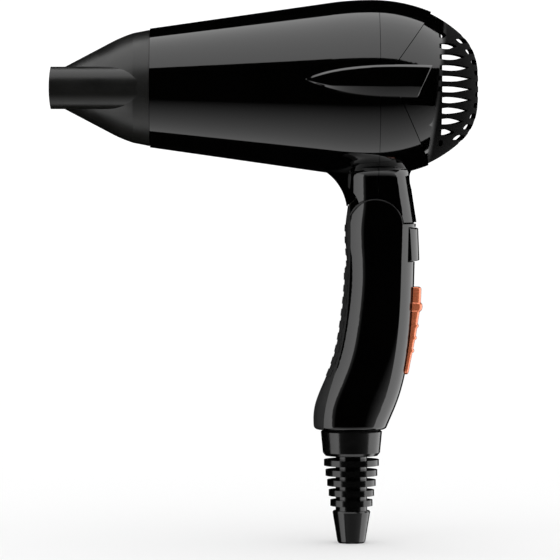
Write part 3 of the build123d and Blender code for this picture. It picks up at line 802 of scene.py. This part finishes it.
@dataclass
class Handle:
    """The folding handle: its halves, grip strip, strain relief and hinge."""

    finishes: dict[str, Finish] = field(
        default_factory=lambda: {
            "handle_left": POLISHED_ABS,
            "handle_right": POLISHED_ABS,
            "handle_screws": ZINC_STEEL,
            "grip_strip": SOFT_TPE,
            "strain_relief": MOULDED_PVC,
            "cord_clamp": NATURAL_NYLON,
            "clamp_screws": ZINC_STEEL,
            "hinge_knuckle": NATURAL_NYLON,
            "hinge_pin": ZINC_STEEL,
            "friction_washers": ZINC_STEEL,
            "neck_screw": ZINC_STEEL,
        }
    )
    shoulder: tuple[tuple[float, float], ...] = ((15.8, 36.9), (15.8, 37.74))
    core_r: float = 15.02       # radius of the hinge's core, in millimetres
    core_from: float = 118.0    # where the front lip starts on it, in degrees from level at the rear
    core_step: float = 2.0
    core_points: int = 12

    def build(self) -> None:
        """Dresses the handle, lays the beads on its cheeks and closes the hinge's open line with dark walls
        that partly stand in for its shade.
        """
        dress(self.finishes)
        for side in (1, -1):
            ArchBead(side).build()
        # dark walls in the hinge's open line: partly real lips, partly dark sheets painted in for the shade
        # there
        HingeShadeLip("hinge_shade_lip_rear", self.shoulder, half_width=3.4, thickness=3.6).build()
        turns = [math.radians(self.core_from + self.core_step * i) for i in range(self.core_points)]
        arc = tuple((self.core_r * math.cos(t), HINGE_Z + self.core_r * math.sin(t)) for t in turns)
        HingeShadeLip("hinge_shade_lip_front", arc, half_width=2.5, thickness=0.34).build()


@dataclass
class ArchBead:
    """The rounded edge of one of the handle's cheeks, in millimetres: an arch over the hinge."""

    side: int
    arch_r: float = 12.25
    bead_r: float = 0.3
    sink: float = 0.12          # how far the bead's middle lies under the cheek's surface
    turn_from: float = 4.0      # degrees from level at the rear
    turn_to: float = 158.0      # degrees from level at the rear, past the top
    steps: int = 96
    around: int = 12
    end_steps: int = 6          # steps over which each end is pinched
    end_area: float = 0.02      # share of the section that is left at each end
    nudge: float = 0.01         # how far apart two middles are that give the bead's direction

    def middle(self, turn: float) -> Vector:
        """The bead's middle at a turn, in radians from level at the rear."""
        x, z = self.arch_r * math.cos(turn), HINGE_Z + self.arch_r * math.sin(turn)
        rear, front = between(HANDLE_REAR, z), between(HANDLE_FRONT, z)
        share = (x - (rear + front) / 2) / ((rear - front) / 2)
        return Vector((x, self.side * (HANDLE_HALF_WIDTH * math.sqrt(1 - share**2) - self.sink), z))

    def build(self) -> bpy.types.Object:
        """Makes the bead as a closed tube with pinched ends, riding on the handle."""
        points = []
        for i in range(self.steps + 1):
            turn = math.radians(self.turn_from + (self.turn_to - self.turn_from) * i / self.steps)
            middle = self.middle(turn)
            ahead = (self.middle(turn + self.nudge) - self.middle(turn - self.nudge)).normalized()
            across = ahead.cross(Vector((0.0, 1.0, 0.0))).normalized()
            out = across.cross(ahead)
            end = rounded(min(i, self.steps - i) / self.end_steps)
            size = self.bead_r * math.sqrt(max(end**2, self.end_area))
            for j in range(self.around):
                angle = 2 * math.pi * j / self.around
                points.append(middle + (across * math.cos(angle) + out * math.sin(angle)) * size)
        faces = tube_faces(self.steps + 1, self.around)
        name = "cheek_bead_left" if self.side > 0 else "cheek_bead_right"
        piece = add_mesh(name, points, faces, POLISHED_ABS)
        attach(piece, "handle")
        log.info("%s: %s", name, POLISHED_ABS.name)
        return piece


@dataclass
class HingeShadeLip:
    """A dark inner wall in the open line between neck and handle, in millimetres: partly a real lip, and
    partly a dark sheet that stands in for the shade in that line.
    """

    name: str
    path: tuple[tuple[float, float], ...]       # X and Z of its middle line
    half_width: float
    thickness: float
    inset: float = 0.9          # where the rounding of its ends begins, as a share of the half width
    pinch: float = 0.4          # share of the thickness that is left at its ends

    def build(self) -> bpy.types.Object:
        """Makes the dark wall, painted shade for the open line as well as a lip, as a closed strip across
        the handle, riding on it.
        """
        widths = (1, self.inset, 0, -self.inset, -1)
        corners = [(1, share) for share in widths] + [(-1, -share) for share in widths]
        points = []
        for i, (x, z) in enumerate(self.path):
            before, after = self.path[max(i - 1, 0)], self.path[min(i + 1, len(self.path) - 1)]
            along = Vector((after[0] - before[0], 0.0, after[1] - before[1])).normalized()
            across = along.cross(Vector((0.0, 1.0, 0.0))) * (self.thickness / 2)
            for side, share in corners:
                thin = self.pinch if abs(share) == 1 else 1.0
                points.append(Vector((x, share * self.half_width, z)) + across * side * thin)
        faces = tube_faces(len(self.path), len(corners))
        # matt dark PBT: a lip, and also painted shade that closes the view through the open line
        piece = add_mesh(self.name, points, faces, MATT_PBT)
        crease_ends(piece, angle=35.0)
        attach(piece, "handle")
        log.info("%s: %s", self.name, MATT_PBT.name)
        return piece


@dataclass
class SliderCap:
    """The speed slider's cap, in millimetres: a rounded blade with a thumb ridge and three ribs."""

    # height and outer edge, from the tail up to the head
    outline: tuple[tuple[float, float], ...] = (
        (-30.8, 14.75), (-30.4, 15.15), (-29.6, 15.45), (-26.0, 16.1), (-21.2, 17.1), (-12.2, 18.9),
        (-6.0, 19.8), (-3.0, 20.3), (-2.4, 20.6), (-1.8, 21.3), (-0.6, 21.65), (0.6, 21.6), (1.3, 21.1),
        (1.9, 20.9), (7.6, 21.15), (8.3, 20.9), (8.6, 20.3),
    )
    ribs: tuple[float, ...] = (-9.0, -14.4, -20.2)
    rib_rise: float = 0.6
    rib_half: float = 0.8
    half_width: float = 4.2
    ridge: tuple[float, float] = (-2.2, 1.4)    # the thumb ridge, from low to high
    ridge_blend: float = 0.5
    ridge_widening: float = 0.45
    tail_round: float = 2.0     # height over which the tail narrows
    tail_width: float = 0.35    # share of the width that is left at the tail
    head_round: float = 0.8     # height over which the head narrows
    head_width: float = 0.9     # share of the width that is left at the head
    clear: float = 0.25         # above the handle's back
    roundness: float = 0.62     # 1 for an ellipse, less for a squarer section
    steps: int = 28
    rows: int = 150

    def outer(self, z: float) -> float:
        """The slider's outer edge at a height, ribs included."""
        rib = max(1.0 - ((z - r) / self.rib_half) ** 2 for r in self.ribs)
        return between(self.outline, z) + self.rib_rise * math.sqrt(max(rib, 0.0))

    def half(self, z: float) -> float:
        """Half the slider's width at a height: narrow at both ends, wider at the thumb ridge."""
        low, high = self.ridge
        grip = eased(min(z - low, high - z) / self.ridge_blend + 0.5)
        tail = rounded((z - self.outline[0][0]) / self.tail_round)
        head = rounded((self.outline[-1][0] - z) / self.head_round)
        share = tail * (self.head_width + (1.0 - self.head_width) * head)
        share = self.tail_width + (1.0 - self.tail_width) * share
        return self.half_width * share + self.ridge_widening * grip

    def ring(self, z: float) -> list[Vector]:
        """One section of the slider, as a closed loop of points."""
        half, outer = self.half(z), self.outer(z)
        loop = []
        for i in range(self.steps + 1):
            turn = math.pi * (i / self.steps - 0.5)
            y = half * math.copysign(abs(math.sin(turn)) ** self.roundness, turn)
            foot = handle_back(z, y) + self.clear
            loop.append(Vector((foot + (outer - foot) * math.cos(turn) ** self.roundness, y, z)))
        for i in range(1, self.steps):
            turn = math.pi * (0.5 - i / self.steps)
            y = half * math.copysign(abs(math.sin(turn)) ** self.roundness, turn)
            loop.append(Vector((handle_back(z, y) + self.clear, y, z)))
        return loop

    def build(self) -> bpy.types.Object:
        """Makes the slider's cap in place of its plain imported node."""
        low, high = self.outline[0][0], self.outline[-1][0]
        heights = {low + (high - low) * i / self.rows for i in range(self.rows + 1)}
        rings = [self.ring(z) for z in sorted(heights | {z for z, _ in self.outline})]
        faces = tube_faces(len(rings), len(rings[0]))
        points = [point for ring in rings for point in ring]
        piece = add_mesh("speed_slider_cap", points, faces, COPPER_LACQUER)
        crease_ends(piece, angle=40.0)
        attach(piece, "slider")
        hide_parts("switch_slider")
        log.info("speed_slider_cap: %s", COPPER_LACQUER.name)
        return piece


@dataclass
class ButtonCap:
    """The cool-air button, in millimetres: a saddle that follows the handle's back, thicker at its foot."""

    low_z: float = 20.3
    top_z: float = 35.3
    half_width: float = 8.45
    proud_top: float = 1.1
    proud_foot: float = 2.1
    sag: float = 0.9            # how much lower the face is at its sides
    rim_depth: float = 0.2      # how deep the edge starts under the handle's surface
    round_over: float = 0.55    # radius of its edges
    under: float = -1.6         # how deep the underside lies in its window
    steps: int = 40

    def proud(self, z: float, y: float) -> float:
        """How far the button's face stands above the handle's surface.

        Args:
            z: the height.
            y: the distance from the middle plane.

        Returns:
            The distance, in millimetres.
        """
        rise = (self.top_z - z) / (self.top_z - self.low_z)
        full = self.proud_top + (self.proud_foot - self.proud_top) * rise
        full -= self.sag * (abs(y) / self.half_width) ** 2
        edge = min(z - self.low_z, self.top_z - z, self.half_width - abs(y))
        return (full + self.rim_depth) * rounded(edge / self.round_over) - self.rim_depth

    def build(self) -> bpy.types.Object:
        """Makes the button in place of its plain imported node."""
        shares = [eased(i / self.steps) for i in range(self.steps + 1)]
        heights = [self.low_z + (self.top_z - self.low_z) * s for s in shares]
        widths = [self.half_width * (2 * s - 1) for s in shares]
        grid = [(z, y) for z in heights for y in widths]
        points = [Vector((handle_back(z, y) + self.proud(z, y), y, z)) for z, y in grid]
        points += [Vector((handle_back(z, y) + self.under, y, z)) for z, y in grid]
        faces = slab_faces(len(heights), len(widths))
        piece = add_mesh("cool_air_button", points, faces, POLISHED_ABS)
        crease_ends(piece, angle=60.0)
        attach(piece, "button")
        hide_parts("cool_button")
        log.info("cool_air_button: %s", POLISHED_ABS.name)
        return piece


@dataclass
class Controls:
    """The speed slider, the cold-shot button and their switches."""

    finishes: dict[str, Finish] = field(
        default_factory=lambda: {
            "slide_switch": PHENOLIC,
            "button_spring": ZINC_STEEL,
            "button_switch": PHENOLIC,
        }
    )

    def build(self) -> None:
        """Dresses the switches and makes the slider's and the button's caps."""
        dress(self.finishes)
        SliderCap().build()
        ButtonCap().build()


# ---- studio ----


BARREL_AXIS = (0.0, 0.0, 0.098)
FLAG_RADIUS = 0.16


@dataclass(frozen=True)
class Card:
    """A curved softbox: part of a tube round an axis through `centre`.

    Its glow runs from `glow_from` at `angle_from` to `glow_to` at `angle_to`.
    """

    name: str
    angle_from: float
    angle_to: float
    reach: tuple[float, float]  # where it ends along the tube's axis
    glow_from: float
    glow_to: float
    centre: tuple[float, float, float] = (0.0, 0.0, 0.0)
    radius: float = 1.2
    upright: bool = False       # whether the tube's axis is upright, and not along the barrel
    sampled: bool = True        # whether light is traced towards it
    steps: int = 24

    def point(self, share: float, along: float) -> Vector:
        """A point of the card.

        Args:
            share: how far the point is from `angle_from` to `angle_to`, from 0 to 1.
            along: how far the point is along the tube's axis, in metres.

        Returns:
            The point. An angle of 0 is towards -Y, and 90 degrees is towards +Z, or +X for an upright card.
        """
        angle = math.radians(self.angle_from + (self.angle_to - self.angle_from) * share)
        out, side = -self.radius * math.cos(angle), self.radius * math.sin(angle)
        offset = Vector((side, out, along)) if self.upright else Vector((along, out, side))
        return Vector(self.centre) + offset

    def build(self) -> bpy.types.Object:
        """Makes the card, seen only in reflections."""
        rows = [(i / self.steps, along) for i in range(self.steps + 1) for along in self.reach]
        mesh = bpy.data.meshes.new(self.name)
        faces = [(2 * i, 2 * i + 1, 2 * i + 3, 2 * i + 2) for i in range(self.steps)]
        mesh.from_pydata([self.point(*row) for row in rows], [], faces)
        glow = mesh.attributes.new("glow", "FLOAT", "POINT")
        for i, (share, _) in enumerate(rows):
            glow.data[i].value = self.glow_from + (self.glow_to - self.glow_from) * share
        card = bpy.data.objects.new(self.name, mesh)
        bpy.context.scene.collection.objects.link(card)
        card.data.materials.append(self.material())
        card.visible_camera = False
        card.visible_diffuse = False
        card.visible_shadow = False
        return card

    def material(self) -> bpy.types.Material:
        """The card's glow, read from its mesh."""
        material = bpy.data.materials.new(self.name)
        material.use_nodes = True
        material.cycles.emission_sampling = "AUTO" if self.sampled else "NONE"
        tree = material.node_tree
        tree.nodes.clear()
        glow = add_node(tree, "ShaderNodeAttribute", {"attribute_name": "glow"})
        light = add_node(tree, "ShaderNodeEmission", links={"Strength": glow.outputs["Fac"]})
        add_node(tree, "ShaderNodeOutputMaterial", links={"Surface": light.outputs[0]})
        return material


@dataclass
class Studio:
    """A pale floor under an even sky, with softboxes above, below and at both sides, and two flags."""

    floor_half: float = 6.0
    floor_colour: str = "#f4f4f4"
    sky: float = 1.12           # light on dull surfaces and the floor
    gleam: float = 0.0015       # what a polished surface mirrors away from the softboxes
    cards: tuple[Card, ...] = (
        Card("card_above", 39.0, 115.0, (-2.6, 2.6), 1.9, 2.6, centre=BARREL_AXIS),
        Card("card_below", -22.0, -92.5, (-2.6, 2.6), 0.0, 1.6, centre=BARREL_AXIS, sampled=False),
        Card("card_left", -52.0, -94.0, (-1.4, 1.1), 2.5, 1.6, upright=True),
        # black flags beside the tail keep the right softbox out of the barrel's flanks seen end on
        Card(
            "flag_near", 30.0, 69.0, (0.042, 0.16), 0.0, 0.0,
            radius=FLAG_RADIUS, upright=True, sampled=False,
        ),
        Card(
            "flag_far", 112.0, 160.0, (0.042, 0.16), 0.0, 0.0,
            radius=FLAG_RADIUS, upright=True, sampled=False,
        ),
        Card("card_left_edge", -42.0, -52.0, (-1.4, 1.1), 0.0, 0.4, upright=True, sampled=False),
        Card("card_right", 69.0, 140.0, (-1.4, 0.5), 2.6, 2.1, upright=True),
    )

    def build(self) -> None:
        """Makes the floor, the sky and the softboxes."""
        self.floor()
        self.world()
        for card in self.cards:
            card.build()
            log.info("%s", card.name)

    def floor(self) -> bpy.types.Object:
        """Makes the floor where the strain relief stands."""
        height, half = cad_box[0][2], self.floor_half
        mesh = bpy.data.meshes.new("floor")
        corners = [(x * half, y * half, height) for x, y in ((-1, -1), (1, -1), (1, 1), (-1, 1))]
        mesh.from_pydata(corners, [], [(0, 1, 2, 3)])
        floor = bpy.data.objects.new("floor", mesh)
        bpy.context.scene.collection.objects.link(floor)
        material = bpy.data.materials.new("floor_paper")
        material.use_nodes = True
        tree = material.node_tree
        tree.nodes.clear()
        paper = add_node(tree, "ShaderNodeBsdfDiffuse", {"Color": linear(self.floor_colour)})
        add_node(tree, "ShaderNodeOutputMaterial", links={"Surface": paper.outputs[0]})
        mesh.materials.append(material)
        floor.visible_glossy = False
        return floor

    def world(self) -> None:
        """Makes the sky: white behind the object, even on dull surfaces, dark in reflections."""
        world = bpy.data.worlds.new("studio")
        bpy.context.scene.world = world
        world.use_nodes = True
        tree = world.node_tree
        tree.nodes.clear()
        path = add_node(tree, "ShaderNodeLightPath")
        dull = add_node(tree, "ShaderNodeBackground", {"Color": WHITE, "Strength": self.sky})
        mirrored = add_node(tree, "ShaderNodeBackground", {"Color": WHITE, "Strength": self.gleam})
        mix = add_node(tree, "ShaderNodeMixShader", links={"Fac": path.outputs["Is Glossy Ray"]})
        tree.links.new(dull.outputs[0], mix.inputs[1])
        tree.links.new(mirrored.outputs[0], mix.inputs[2])
        add_node(tree, "ShaderNodeOutputWorld", links={"Surface": mix.outputs[0]})


@dataclass
class Camera:
    """A long lens, nearly level with the barrel and aimed at the middle of the dryer."""

    place: tuple[float, float, float] = (-0.065, -2.0, 0.09)
    aim: tuple[float, float, float] = (-0.0425, 0.0, 0.0117)
    width: float = 0.252        # what the picture is wide at the aim
    sensor_mm: float = 36.0
    clip_end: float = 50.0

    def build(self) -> bpy.types.Object:
        """Makes the camera and makes it the scene's own."""
        data = bpy.data.cameras.new("camera")
        camera = bpy.data.objects.new("camera", data)
        bpy.context.scene.collection.objects.link(camera)
        sight = Vector(self.aim) - Vector(self.place)
        camera.location = self.place
        camera.rotation_euler = sight.to_track_quat("-Z", "Y").to_euler()
        data.sensor_width = self.sensor_mm
        data.lens = self.sensor_mm * sight.length / self.width
        data.clip_end = self.clip_end
        bpy.context.scene.camera = camera
        return camera


def set_picture_tone() -> None:
    """Keeps white paper white and black plastic black."""
    bpy.context.scene.view_settings.view_transform = "Standard"


def main() -> None:
    """Builds the sub-assemblies and the studio in order."""
    logging.basicConfig(level=logging.INFO, format="%(message)s")
    for part in (Barrel(), Nozzle(), HeaterAndFan(), Handle(), Controls(), Studio(), Camera()):
        part.build()
        log.info("built %s", type(part).__name__)
    set_picture_tone()


if __name__ == "__main__":
    main()
